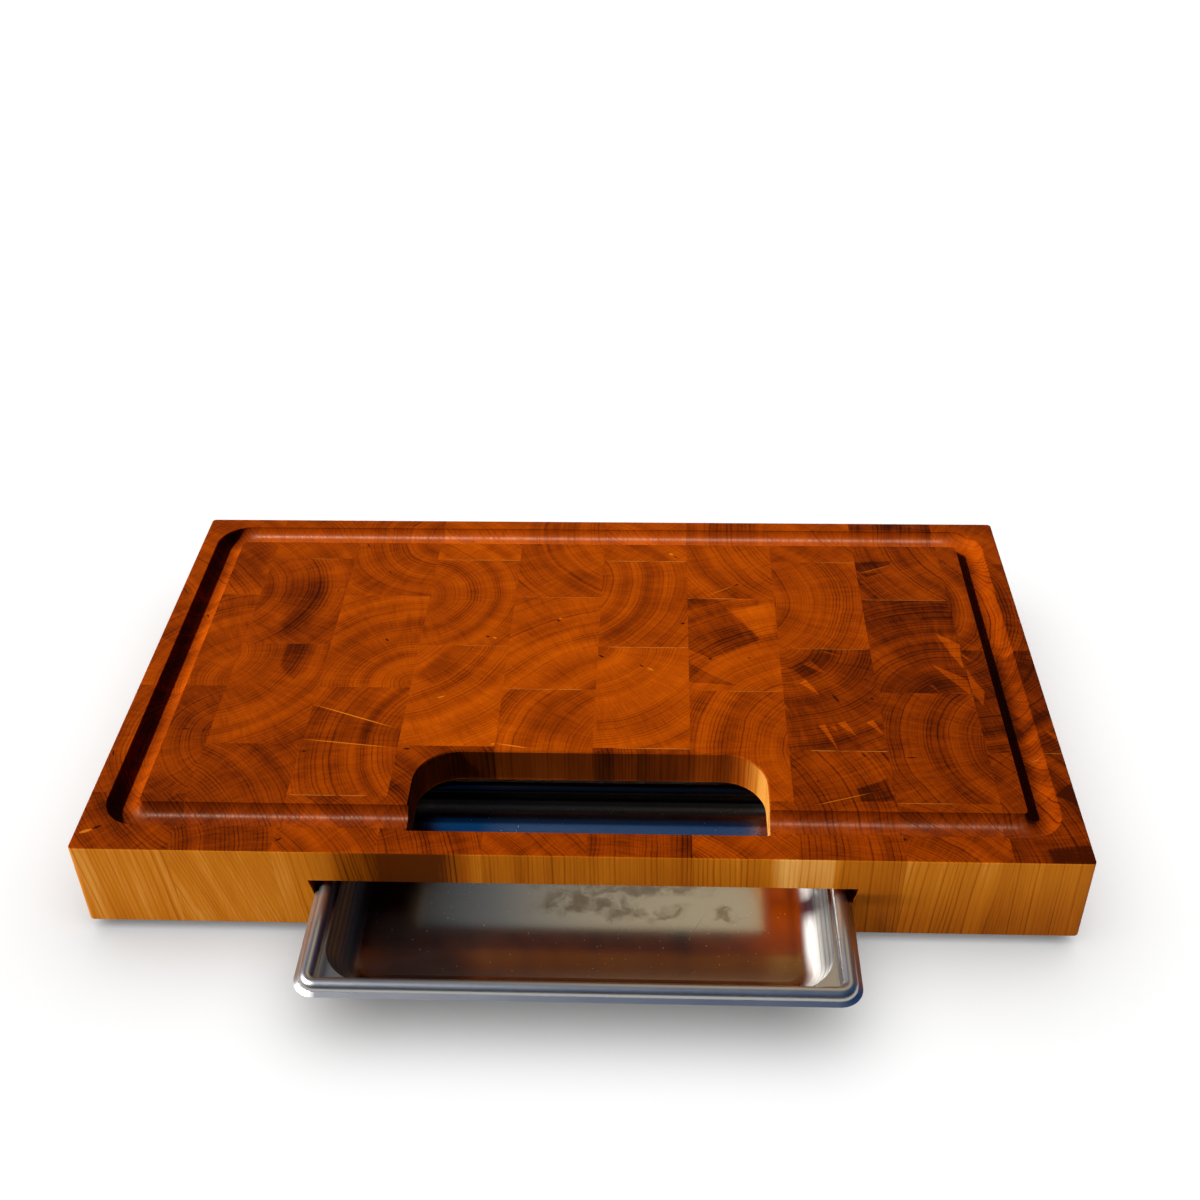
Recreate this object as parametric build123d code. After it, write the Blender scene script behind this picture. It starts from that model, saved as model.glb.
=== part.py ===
"""End-grain butcher block with a juice groove, a scrap chute and a steel tray that slides out below it.

Lengths are millimetres. X runs along the board, Y from its front face to its back, Z up.
The origin is on the table, under the middle of the board and its drawn-out tray.
"""

import os

from build123d import *

# Board
BOARD_LENGTH = 610.0
BOARD_DEPTH = 356.0
BOARD_THICKNESS = 63.5
CORNER_ROUND = 3.0
EDGE_EASE = 1.2

# End-grain blocks: slices stand side by side along X, outwards from a middle seam, and each slice is a row of
# blocks along Y. Odd and even slices start with front blocks of different depth, so that the joints break.
SLICE_WIDTH = 62.8
MIDDLE_SEAM_OFFSET = 6.4
STRIP_WIDTH = 104.0
ODD_SLICE_FRONT_BLOCK = 48.2
EVEN_SLICE_FRONT_BLOCK = 94.6
SMALLEST_BLOCK = 15.0

# Juice groove, cut by a round-nosed bit along a rounded rectangle
GROOVE_BIT_RADIUS = 10.5
GROOVE_DEPTH = 8.0
GROOVE_SIDE_INSET = 22.0
GROOVE_BACK_INSET = 21.5
GROOVE_FRONT_INSET = 30.5
GROOVE_INNER_TURN = 2.5

# Scrap chute, through the top into the tray
CHUTE_LENGTH = 222.0
CHUTE_WIDTH = 70.5
CHUTE_FRONT_WALL = 19.5
CHUTE_BACK_CORNER = 28.0
CHUTE_FRONT_CORNER = 3.0
CHUTE_OFFSET = 6.0
CHUTE_EASE = 0.8

# Steel tray, pressed from one sheet
TRAY_LENGTH = 325.0
TRAY_WIDTH = 176.0
TRAY_HEIGHT = 27.0
SHEET = 0.8
TRAY_DRAWN_OUT = 78.0

# Tray rim: a lip that slopes down outwards, a half-round bead and a short collar inside it
RIM_WIDTH = 12.0
LIP_WIDTH = 2.7
LIP_RISE = 1.6
COLLAR_DROP = 2.0
COLLAR_CORNER = 2.0

# Tray body below the collar: its wide corners leave a crescent ledge in each corner of the collar
LEDGE_WIDTH = 1.5
BODY_CORNER = 28.0
WALL_LEAN = 7.0
FLOOR_FILLET = 19.0

# Tray bay: two runner slots with leaning walls carry the rim, and the body hangs between them
BAY_ROOF = 24.5
RUNNER_SLOT_HEIGHT = 12.0
RUNNER_SIDE_CLEARANCE = 0.8
RUNNER_END_CLEARANCE = 2.0
RUNNER_LEAN = 2.5
BODY_CLEARANCE = 2.2
RIM_REST_GAP = 0.3
BAY_OFFSET = 3.0

# Rubber feet, each held by a washer and a screw
FOOT_DIAMETER = 25.0
FOOT_TIP_DIAMETER = 22.0
FOOT_HEIGHT = 8.0
FOOT_INSET = 32.0
FOOT_TIP_ROUND = 1.0
FOOT_WEB = 2.5
WASHER_DIAMETER = 12.0
WASHER_BORE = 5.2
WASHER_THICKNESS = 1.0
WASHER_CLEARANCE = 0.3
SCREW_HEAD_DIAMETER = 8.4
SCREW_HEAD_HEIGHT = 2.4
SCREW_HEAD_ROUND = 1.2
SCREW_DIAMETER = 4.2
SCREW_GRIP = 18.0
SCREW_POINT_LENGTH = 4.0
SCREW_POINT_DIAMETER = 1.0
SCREW_BORE_CLEARANCE = 0.4
PILOT_CLEARANCE = 0.05
PILOT_OVERDEPTH = 1.0
CROSS_SLOT_WIDTH = 1.2
CROSS_SLOT_LENGTH = 4.6
CROSS_SLOT_DEPTH = 1.3

# How far a cut runs past the face it opens through
OVERRUN = 5.0

# Levels and places worked out from the sizes above
BOARD_BOTTOM = FOOT_HEIGHT
BOARD_TOP = BOARD_BOTTOM + BOARD_THICKNESS
BOARD_FRONT = (TRAY_DRAWN_OUT - BOARD_DEPTH) / 2
BOARD_BACK = BOARD_FRONT + BOARD_DEPTH
SLOT_TOP = BOARD_TOP - BAY_ROOF
SLOT_BOTTOM = SLOT_TOP - RUNNER_SLOT_HEIGHT
LIP_SLOPE = (LIP_WIDTH**2 + LIP_RISE**2) ** 0.5
LIP_EDGE = SHEET * LIP_WIDTH / LIP_SLOPE
BEAD_RADIUS = (RIM_WIDTH - LIP_WIDTH) / 2
BEAD_BASE = LIP_EDGE + LIP_RISE
RIM_BOTTOM = SLOT_BOTTOM + RIM_REST_GAP
RIM_TOP = RIM_BOTTOM + BEAD_BASE + BEAD_RADIUS
LEDGE_LEVEL = RIM_BOTTOM - COLLAR_DROP
TRAY_BOTTOM = RIM_TOP - TRAY_HEIGHT
TRAY_CORNER = COLLAR_CORNER + RIM_WIDTH
TRAY_CENTRE_Y = BOARD_FRONT - TRAY_DRAWN_OUT + TRAY_WIDTH / 2


def upright_prism(length, width, corner, bottom, top):
    """A prism on the Z axis with a rounded rectangle as its plan."""
    plan = Plane.XY.offset(bottom) * RectangleRounded(length, width, corner)
    return extrude(plan, top - bottom)


def leaning_prism(length, width, corner, lean, bottom, top):
    """A prism on the Z axis that is the given plan at its top and draws in by lean at its bottom."""
    upper = RectangleRounded(length, width, corner)
    lower = RectangleRounded(length - 2 * lean, width - 2 * lean, corner - lean)
    return loft([(Pos(0, 0, bottom) * lower).face(), (Pos(0, 0, top) * upper).face()], ruled=True)


def cylinder(diameter, bottom, top):
    """An upright cylinder on the Z axis."""
    return extrude(Plane.XY.offset(bottom) * Circle(diameter / 2), top - bottom)


def board_blank():
    """The trimmed slab, with rounded corners and eased edges."""
    slab = upright_prism(BOARD_LENGTH, BOARD_DEPTH, CORNER_ROUND, BOARD_BOTTOM, BOARD_TOP)
    slab = fillet(slab.faces().filter_by(Axis.Z).edges(), EDGE_EASE)
    return Pos(0, (BOARD_FRONT + BOARD_BACK) / 2) * slab


def groove_cut():
    """What the round-nosed bit takes out on its way round the cutting surface."""
    length = BOARD_LENGTH - 2 * GROOVE_SIDE_INSET
    front = BOARD_FRONT + GROOVE_FRONT_INSET
    back = BOARD_BACK - GROOVE_BACK_INSET
    nose_centre = BOARD_TOP - GROOVE_DEPTH + GROOVE_BIT_RADIUS
    turn = GROOVE_BIT_RADIUS + GROOVE_INNER_TURN
    outline = Pos(0, (front + back) / 2, nose_centre) * RectangleRounded(length, back - front, turn)
    path = outline.face().outer_wire()
    along = path % 0
    section = Plane(origin=path @ 0, x_dir=Vector(0, 0, 1).cross(along), z_dir=along)
    shank = Pos(0, GROOVE_DEPTH / 2) * Rectangle(2 * GROOVE_BIT_RADIUS, GROOVE_DEPTH)
    return sweep(section * (Circle(GROOVE_BIT_RADIUS) + shank), path=path)


def chute_plan():
    """The chute's outline: wide round corners at the back, tight ones at the front."""
    middle = BOARD_FRONT + CHUTE_FRONT_WALL + CHUTE_WIDTH / 2
    outline = Pos(CHUTE_OFFSET, middle) * Rectangle(CHUTE_LENGTH, CHUTE_WIDTH)
    outline = fillet(outline.vertices().group_by(Axis.Y)[-1], CHUTE_BACK_CORNER)
    return fillet(outline.vertices().group_by(Axis.Y)[0], CHUTE_FRONT_CORNER)


def chute_cut():
    """The chute's opening, from above the board down into the bay, with its upper edge eased."""
    plan = chute_plan()
    bottom = (SLOT_TOP + SLOT_BOTTOM) / 2
    shaft = extrude(Pos(0, 0, bottom) * plan, BOARD_TOP + OVERRUN - bottom)
    mouth = Pos(0, 0, BOARD_TOP) * offset(plan, CHUTE_EASE)
    return shaft + loft([(Pos(0, 0, BOARD_TOP - CHUTE_EASE) * plan).face(), mouth.face()])


def bay_cut():
    """The tray's bay, open at the front and below: runner slots, and room for the body between them."""
    slot_length = TRAY_LENGTH + 2 * (RUNNER_SIDE_CLEARANCE + RUNNER_LEAN)
    slot_end = BOARD_FRONT + TRAY_WIDTH + RUNNER_END_CLEARANCE + RUNNER_LEAN
    slot_corner = TRAY_CORNER + RUNNER_SIDE_CLEARANCE + RUNNER_LEAN
    slot_start = BOARD_FRONT - slot_corner - OVERRUN
    slot = leaning_prism(
        slot_length, slot_end - slot_start, slot_corner, RUNNER_LEAN, SLOT_BOTTOM, SLOT_TOP)
    body_inset = RIM_WIDTH - SHEET - BODY_CLEARANCE
    body_end = BOARD_FRONT + TRAY_WIDTH - body_inset
    body_corner = COLLAR_CORNER + SHEET + BODY_CLEARANCE
    body_start = BOARD_FRONT - body_corner - OVERRUN
    body = upright_prism(
        TRAY_LENGTH - 2 * body_inset, body_end - body_start, body_corner, BOARD_BOTTOM - OVERRUN, SLOT_TOP)
    slot = Pos(BAY_OFFSET, (slot_start + slot_end) / 2) * slot
    return slot + Pos(BAY_OFFSET, (body_start + body_end) / 2) * body


def foot_places():
    """Where the feet stand, by name."""
    across = BOARD_LENGTH / 2 - FOOT_INSET
    front = BOARD_FRONT + FOOT_INSET
    back = BOARD_BACK - FOOT_INSET
    return {
        "front_left": (-across, front),
        "front_right": (across, front),
        "back_left": (-across, back),
        "back_right": (across, back),
    }


def pilot_cut():
    """The hole for a foot's screw, on the Z axis."""
    top = BOARD_BOTTOM + SCREW_GRIP + PILOT_OVERDEPTH
    return cylinder(SCREW_DIAMETER + 2 * PILOT_CLEARANCE, BOARD_BOTTOM - OVERRUN, top)


def machined_board():
    """The whole slab with everything that is cut into it after the blocks are glued up."""
    board = board_blank() - groove_cut() - chute_cut() - bay_cut()
    for place in foot_places().values():
        board -= Pos(*place) * pilot_cut()
    return board


def seams(first, pitch, end):
    """Places of the seams from 0 to end along one direction, with no sliver left at the far side."""
    places = []
    place = first
    while place < end - SMALLEST_BLOCK:
        places.append(place)
        place += pitch
    return places


def spans(start, places, end):
    """Where each piece between start and end begins and stops, given the seams."""
    return zip([start] + places, places + [end])


def slices():
    """Left end, right end and front block's depth of each slice, counted outwards from the middle seam."""
    table = {}
    sides = {
        "left": (-1, (ODD_SLICE_FRONT_BLOCK, EVEN_SLICE_FRONT_BLOCK)),
        "right": (1, (EVEN_SLICE_FRONT_BLOCK, ODD_SLICE_FRONT_BLOCK)),
    }
    for side, (way, front_blocks) in sides.items():
        reach = BOARD_LENGTH / 2 - way * MIDDLE_SEAM_OFFSET
        places = seams(SLICE_WIDTH, SLICE_WIDTH, reach)
        for count, span in enumerate(spans(0, places, reach + OVERRUN)):
            left, right = sorted(MIDDLE_SEAM_OFFSET + way * place for place in span)
            table[f"{side}{count + 1}"] = (left, right, front_blocks[count % 2])
    return table


def blocks():
    """The end-grain blocks by name: the slice, then the block's number in it, counted from the front."""
    board = machined_board()
    pieces = {}
    for slice_name, (left, right, front_block) in slices().items():
        rows = spans(-OVERRUN, seams(front_block, STRIP_WIDTH, BOARD_DEPTH), BOARD_DEPTH + OVERRUN)
        for row, (front, back) in enumerate(rows, start=1):
            plan = Pos((left + right) / 2, (front + back) / 2) * Rectangle(right - left, back - front)
            cell = extrude(
                Pos(0, BOARD_FRONT, BOARD_BOTTOM - OVERRUN) * plan, BOARD_THICKNESS + 2 * OVERRUN)
            # A block that the chute runs right across is left in two pieces, one of them behind it.
            for suffix, solid in zip(("", "_back"), (board & cell).solids().sort_by(Axis.Y)):
                pieces[f"block_{slice_name}_{row}{suffix}"] = solid
    return pieces


def rim_profile():
    """The rim's sheet in section: along X from its outer edge inwards, along Y up from its lowest line."""
    crown = LIP_WIDTH + BEAD_RADIUS
    under_radius = BEAD_RADIUS - SHEET
    under_start = crown - under_radius
    under_end = crown + under_radius
    collar_end = -COLLAR_DROP - SHEET
    lowest = SHEET * LIP_RISE / LIP_SLOPE
    under_crease = (under_start - lowest) * LIP_RISE / LIP_WIDTH
    bead = ThreePointArc((LIP_WIDTH, BEAD_BASE), (crown, BEAD_BASE + BEAD_RADIUS), (RIM_WIDTH, BEAD_BASE))
    under = ThreePointArc((under_end, BEAD_BASE), (crown, BEAD_BASE + under_radius), (under_start, BEAD_BASE))
    collar = Polyline(bead @ 1, (RIM_WIDTH, collar_end), (under_end, collar_end), under @ 0)
    lip = Polyline(under @ 1, (under_start, under_crease), (lowest, 0), (0, LIP_EDGE), bead @ 0)
    return make_face(Curve() + [bead, collar, under, lip])


def tray_rim():
    """The rim and its collar, swept round the tray's outline."""
    outline = Pos(0, 0, RIM_BOTTOM) * RectangleRounded(TRAY_LENGTH, TRAY_WIDTH, TRAY_CORNER)
    path = outline.face().outer_wire()
    along = path % 0
    section = Plane(origin=path @ 0, x_dir=Vector(0, 0, 1).cross(along), z_dir=along)
    return sweep(section * rim_profile(), path=path)


def tray_well(inset, corner, floor, floor_fillet):
    """The solid inside one face of the body's sheet, from its rounded floor up to the ledge."""
    lean = WALL_LEAN * (LEDGE_LEVEL - floor) / (LEDGE_LEVEL - TRAY_BOTTOM)
    well = leaning_prism(
        TRAY_LENGTH - 2 * inset, TRAY_WIDTH - 2 * inset, corner, lean, floor, LEDGE_LEVEL)
    return fillet(well.faces().sort_by(Axis.Z)[0].edges(), floor_fillet)


def tray():
    """The tray at rest, drawn part of the way out of its bay."""
    collar_inset = RIM_WIDTH - SHEET
    well_inset = RIM_WIDTH + LEDGE_WIDTH
    ledge = upright_prism(
        TRAY_LENGTH - 2 * collar_inset,
        TRAY_WIDTH - 2 * collar_inset,
        TRAY_CORNER - collar_inset,
        LEDGE_LEVEL - SHEET,
        LEDGE_LEVEL,
    )
    outside = tray_well(well_inset - SHEET, BODY_CORNER + SHEET, TRAY_BOTTOM, FLOOR_FILLET + SHEET)
    inside = tray_well(well_inset, BODY_CORNER, TRAY_BOTTOM + SHEET, FLOOR_FILLET)
    body = outside + ledge - inside
    return Pos(BAY_OFFSET, TRAY_CENTRE_Y) * (body + tray_rim())


def foot():
    """One rubber foot on the Z axis, with a pocket for its washer and screw head."""
    tip = Circle(FOOT_TIP_DIAMETER / 2)
    base = Pos(0, 0, FOOT_HEIGHT) * Circle(FOOT_DIAMETER / 2)
    blank = loft([tip.face(), base.face()])
    blank = fillet(blank.edges().group_by(Axis.Z)[0], FOOT_TIP_ROUND)
    pocket = cylinder(WASHER_DIAMETER + 2 * WASHER_CLEARANCE, -OVERRUN, FOOT_HEIGHT - FOOT_WEB)
    bore = cylinder(SCREW_DIAMETER + 2 * SCREW_BORE_CLEARANCE, -OVERRUN, FOOT_HEIGHT + OVERRUN)
    return blank - pocket - bore


def washer():
    """One steel washer on the Z axis, against the roof of the foot's pocket."""
    top = FOOT_HEIGHT - FOOT_WEB
    bottom = top - WASHER_THICKNESS
    return cylinder(WASHER_DIAMETER, bottom, top) - cylinder(WASHER_BORE, bottom - OVERRUN, top + OVERRUN)


def screw():
    """One pan-head screw on the Z axis, up through the washer and the foot into its block."""
    seat = FOOT_HEIGHT - FOOT_WEB - WASHER_THICKNESS
    crown = seat - SCREW_HEAD_HEIGHT
    point = FOOT_HEIGHT + SCREW_GRIP
    point_base = point - SCREW_POINT_LENGTH
    head = cylinder(SCREW_HEAD_DIAMETER, crown, seat)
    head = fillet(head.edges().group_by(Axis.Z)[0], SCREW_HEAD_ROUND)
    cross = Rectangle(CROSS_SLOT_LENGTH, CROSS_SLOT_WIDTH) + Rectangle(CROSS_SLOT_WIDTH, CROSS_SLOT_LENGTH)
    head -= extrude(Pos(0, 0, crown - OVERRUN) * cross, CROSS_SLOT_DEPTH + OVERRUN)
    shank = cylinder(SCREW_DIAMETER, seat, point_base)
    wide = Pos(0, 0, point_base) * Circle(SCREW_DIAMETER / 2)
    narrow = Pos(0, 0, point) * Circle(SCREW_POINT_DIAMETER / 2)
    return head + shank + loft([wide.face(), narrow.face()])


def main():
    os.makedirs("parts", exist_ok=True)
    places = foot_places()
    pieces = blocks()
    pieces["steel_tray"] = tray()
    for name, place in places.items():
        pieces[f"foot_{name}"] = Pos(*place) * foot()
    pieces["foot_washers"] = Compound([Pos(*place) * washer() for place in places.values()])
    pieces["foot_screws"] = Compound([Pos(*place) * screw() for place in places.values()])
    for name, piece in pieces.items():
        export_step(piece, f"parts/{name}.step")
    print(len(pieces), "pieces")


main()
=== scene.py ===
"""Finishes the butcher block in oiled cherry and its tray in satin steel, and sets up the photograph's view.

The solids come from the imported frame, in metres. Wood patterns are worked out in millimetres.
"""

from math import atan2, degrees, radians

import bmesh
import bpy
from mathutils import Matrix, Vector


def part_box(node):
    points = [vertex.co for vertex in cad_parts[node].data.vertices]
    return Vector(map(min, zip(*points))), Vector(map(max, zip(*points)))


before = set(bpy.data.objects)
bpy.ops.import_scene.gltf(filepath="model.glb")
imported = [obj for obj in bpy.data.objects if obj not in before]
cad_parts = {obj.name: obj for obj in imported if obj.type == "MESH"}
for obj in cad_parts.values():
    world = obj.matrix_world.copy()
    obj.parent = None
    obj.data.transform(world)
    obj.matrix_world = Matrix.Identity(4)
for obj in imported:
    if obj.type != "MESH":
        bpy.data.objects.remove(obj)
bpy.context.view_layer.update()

MM = 0.001
BLOCK_PREFIX = "block_"

# The board's outer faces, in millimetres
block_boxes = {name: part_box(name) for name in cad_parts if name.startswith(BLOCK_PREFIX)}
BOARD_LOW = Vector([min(low[axis] for low, high in block_boxes.values()) / MM for axis in range(3)])
BOARD_HIGH = Vector([max(high[axis] for low, high in block_boxes.values()) / MM for axis in range(3)])
TRAY_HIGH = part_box("steel_tray")[1] / MM


class Field:
    """A number that varies over a surface: a node's output, whose arithmetic adds more nodes."""

    def __init__(self, finish, socket):
        self.finish, self.socket = finish, socket

    def math(self, operation, *others):
        node = self.finish.add("Math", (self, *others), operation=operation)
        return Field(self.finish, node.outputs[0])

    def __add__(self, other):
        return self.math("ADD", other)

    def __sub__(self, other):
        return self.math("SUBTRACT", other)

    def __mul__(self, other):
        return self.math("MULTIPLY", other)

    def __truediv__(self, other):
        return self.math("DIVIDE", other)

    def at_most(self, other):
        return self.math("MINIMUM", other)

    def at_least(self, other):
        return self.math("MAXIMUM", other)

    def size(self):
        return self.math("ABSOLUTE")

    def opposite(self):
        """What is left of 1."""
        return self * -1.0 + 1.0

    def step(self, start, end, low=0.0, high=1.0):
        """Goes smoothly from low to high while the number goes from start to end."""
        node = self.finish.add("MapRange", (self, start, end, low, high), interpolation_type="SMOOTHSTEP")
        return Field(self.finish, node.outputs[0])


class Recipe:
    """A node tree, with short names for the nodes that it needs."""

    def __init__(self, tree):
        self.tree = tree

    def add(self, kind, values=(), **settings):
        """Adds a node with the given settings, and fills its inputs in turn with numbers, colours or links."""
        node = self.tree.nodes.new("ShaderNode" + kind)
        for key, value in settings.items():
            setattr(node, key, value)
        named = values.items() if isinstance(values, dict) else enumerate(values)
        for key, value in named:
            value = value.socket if isinstance(value, Field) else value
            if isinstance(value, bpy.types.NodeSocket):
                self.tree.links.new(value, node.inputs[key])
            else:
                node.inputs[key].default_value = value
        return node

    def place(self):
        """The point's place in millimetres."""
        place = self.add("TexCoord").outputs["Object"]
        return self.vector("SCALE", place, Scale=1 / MM)

    def vector(self, operation, first, second=(0, 0, 0), **inputs):
        return self.add("VectorMath", {0: first, 1: second, **inputs}, operation=operation).outputs["Vector"]

    def length(self, vector):
        return Field(self, self.add("VectorMath", (vector,), operation="LENGTH").outputs["Value"])

    def dot(self, first, second):
        return Field(self, self.add("VectorMath", (first, second), operation="DOT_PRODUCT").outputs["Value"])

    def parts(self, vector):
        node = self.add("SeparateXYZ", (vector,))
        return [Field(self, output) for output in node.outputs]

    def noise_node(self, vector, detail, roughness=0.5):
        return self.add("TexNoise", {"Vector": vector, "Scale": 1.0, "Detail": detail, "Roughness": roughness})

    def noise(self, vector, grain, detail=2.0, roughness=0.5):
        """Cloudy variation from 0 to 1, with grains of the given size in millimetres along X, Y and Z."""
        scaled = self.vector("MULTIPLY", vector, [1 / size for size in grain])
        return Field(self, self.noise_node(scaled, detail, roughness).outputs["Fac"])

    def noise_along(self, number, detail=1.0):
        """Cloudy variation from 0 to 1 along one number."""
        values = {"W": number, "Scale": 1.0, "Detail": detail}
        return Field(self, self.add("TexNoise", values, noise_dimensions="1D").outputs["Fac"])

    def chance(self, number):
        """A number from 0 to 1 that is drawn anew for each whole number."""
        return Field(self, self.add("TexWhiteNoise", {"W": number}, noise_dimensions="1D").outputs["Value"])

    def spot(self, place, x, y, half_length, half_width, turn):
        """1 inside an upright oval column and 0 outside it; turn is in degrees from X."""
        shape = {"Location": (x, y, 0), "Rotation": (0, 0, radians(turn)), "Scale": (half_length, half_width, 1e6)}
        local = self.add("Mapping", {"Vector": place, **shape}, vector_type="TEXTURE").outputs["Vector"]
        return self.length(local).step(1.0, 0.45)

    def ramp(self, number, colours):
        """Colours at shares of the way from 0 to 1."""
        node = self.add("ValToRGB", (number,))
        elements = node.color_ramp.elements
        while len(elements) < len(colours):
            elements.new(0.5)
        for element, (share, colour) in zip(elements, colours):
            element.position = share
            element.color = (*colour, 1.0)
        return node.outputs["Color"]

    def mix(self, share, first, second, blend="MIX"):
        node = self.add("Mix", {0: share, 6: first, 7: second}, data_type="RGBA", blend_type=blend)
        return node.outputs[2]


class Finish(Recipe):
    """One material."""

    def __init__(self, name):
        self.material = bpy.data.materials.new(name)
        self.material.use_nodes = True
        super().__init__(self.material.node_tree)
        self.shader = self.tree.nodes["Principled BSDF"]

    def bump(self, height, depth, strength=1.0):
        """Raises the surface by height, from 0 to 1, times depth in millimetres."""
        values = {"Height": height, "Distance": depth * MM, "Strength": strength}
        self.link(self.add("Bump", values).outputs["Normal"], "Normal")

    def link(self, value, name):
        self.tree.links.new(value.socket if isinstance(value, Field) else value, self.shader.inputs[name])

    def set(self, **values):
        for name, value in values.items():
            self.shader.inputs[name.replace("_", " ")].default_value = value


# Wood

# Oiled end grain, from pale early wood to the darkest late wood
END_GRAIN = [
    (0.0, (0.620, 0.110, 0.0008)),
    (0.25, (0.460, 0.072, 0.0006)),
    (0.50, (0.310, 0.0435, 0.0005)),
    (0.75, (0.165, 0.0205, 0.0004)),
    (1.0, (0.045, 0.0048, 0.0003)),
]
# Long grain on the board's outer faces
LONG_GRAIN = [
    (0.0, (0.850, 0.430, 0.100)),
    (0.35, (0.565, 0.178, 0.007)),
    (0.65, (0.370, 0.090, 0.0015)),
    (1.0, (0.090, 0.018, 0.0006)),
]
GLUE = (0.60, 0.25, 0.04, 1.0)
GUM = (0.020, 0.004, 0.001, 1.0)
# The pale colour of the checks, and of the painted sheen spots beside the knots
CHECK_AND_SHEEN_PALE = (0.80, 0.23, 0.012, 1.0)

# Places below are in millimetres on the board.
# Each block: its pith, how dark its end grain is from 0 to 1, and the width of its rings.
GROWTH = {
    "left5_4": ((-420, 10), 0.49, 2.5),
    "left5_3": ((-232, 22), 0.50, 2.4),
    "left5_2": ((-222, -38), 0.59, 2.4),
    "left5_1": ((-150, 0), 0.66, 2.4),
    "left4_4": ((-330, 80), 0.48, 2.2),
    "left4_3": ((-280, 122), 0.54, 3.1),
    "left4_2": ((-268, 50), 0.50, 2.5),
    "left4_1": ((-300, -150), 0.65, 2.5),
    "left3_4": ((-112, 192), 0.47, 2.7),
    "left3_3": ((-118, 18), 0.39, 2.4),
    "left3_2": ((-65, -42), 0.49, 2.9),
    "left3_1": ((-300, -260), 0.55, 2.2),
    "left2_4": ((-200, 60), 0.32, 2.0),
    "left2_3": ((-130, 118), 0.43, 2.5),
    "left2_2": ((-155, 82), 0.32, 2.4),
    "left2_1": ((-220, -170), 0.66, 2.4),
    "left1_4": ((54, 208), 0.43, 3.1),
    "left1_3": ((42, -40), 0.36, 2.4),
    "left1_2": ((45, -50), 0.39, 2.9),
    "left1_1": ((-180, -290), 0.53, 2.0),
    "right1_4": ((-80, 40), 0.41, 2.2),
    "right1_3": ((-48, 137), 0.43, 2.9),
    "right1_2": ((-6, 66), 0.33, 2.2),
    "right1_1": ((-300, -120), 0.64, 2.4),
    "right2_4": ((200, 208), 0.44, 3.6),
    "right2_3": ((160, -38), 0.36, 2.7),
    "right2_2": ((180, -45), 0.45, 2.5),
    "right2_1": ((-10, -250), 0.50, 2.2),
    "right3_4": ((40, 60), 0.49, 2.2),
    "right3_3": ((80, 118), 0.48, 2.5),
    "right3_2": ((128, 66), 0.70, 2.9),
    "right3_1": ((30, -128), 0.64, 3.1),
    "right4_4": ((345, 208), 0.63, 3.6),
    "right4_3": ((250, -4), 0.76, 3.4),
    "right4_2": ((300, -38), 0.69, 2.7),
    "right4_1": ((125, -260), 0.58, 2.2),
    "right5_4": ((180, 70), 0.64, 2.2),
    "right5_3": ((203, 112), 0.70, 2.5),
    "right5_2": ((240, 75), 0.83, 3.1),
    "right5_1": ((165, -140), 0.74, 2.7),
}
# How dark a block's outer face is from 0 to 1, usually and where it isn't the usual
FACE_DARKNESS = 0.36
DARKER_FACES = {
    "left2_1": 0.50,
    "left1_1": 0.53,
    "right1_1": 0.52,
    "right2_1": 0.40,
    "right3_1": 0.50,
    "right4_1": 0.37,
    "right5_1": 0.39,
}
# How far the grain of a block's outer face leans to the right going down
LEANS = {"left5_1": 0.10, "left4_1": 0.26, "left3_1": 0.12, "right4_1": -0.08}
# The front face's dark band and pale streak: where each begins, is full, starts to fade and ends along X
FRONT_DARK_BAND = (-168.0, -126.0, -86.0, -58.0)
FRONT_STREAK = (112.0, 127.0, 150.0, 160.0)
# Painted shade: the front face darkens downwards, as under light from above, more so from here to there along X
LOW_PAINTED_SHADE = (0.0, 150.0)
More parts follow.
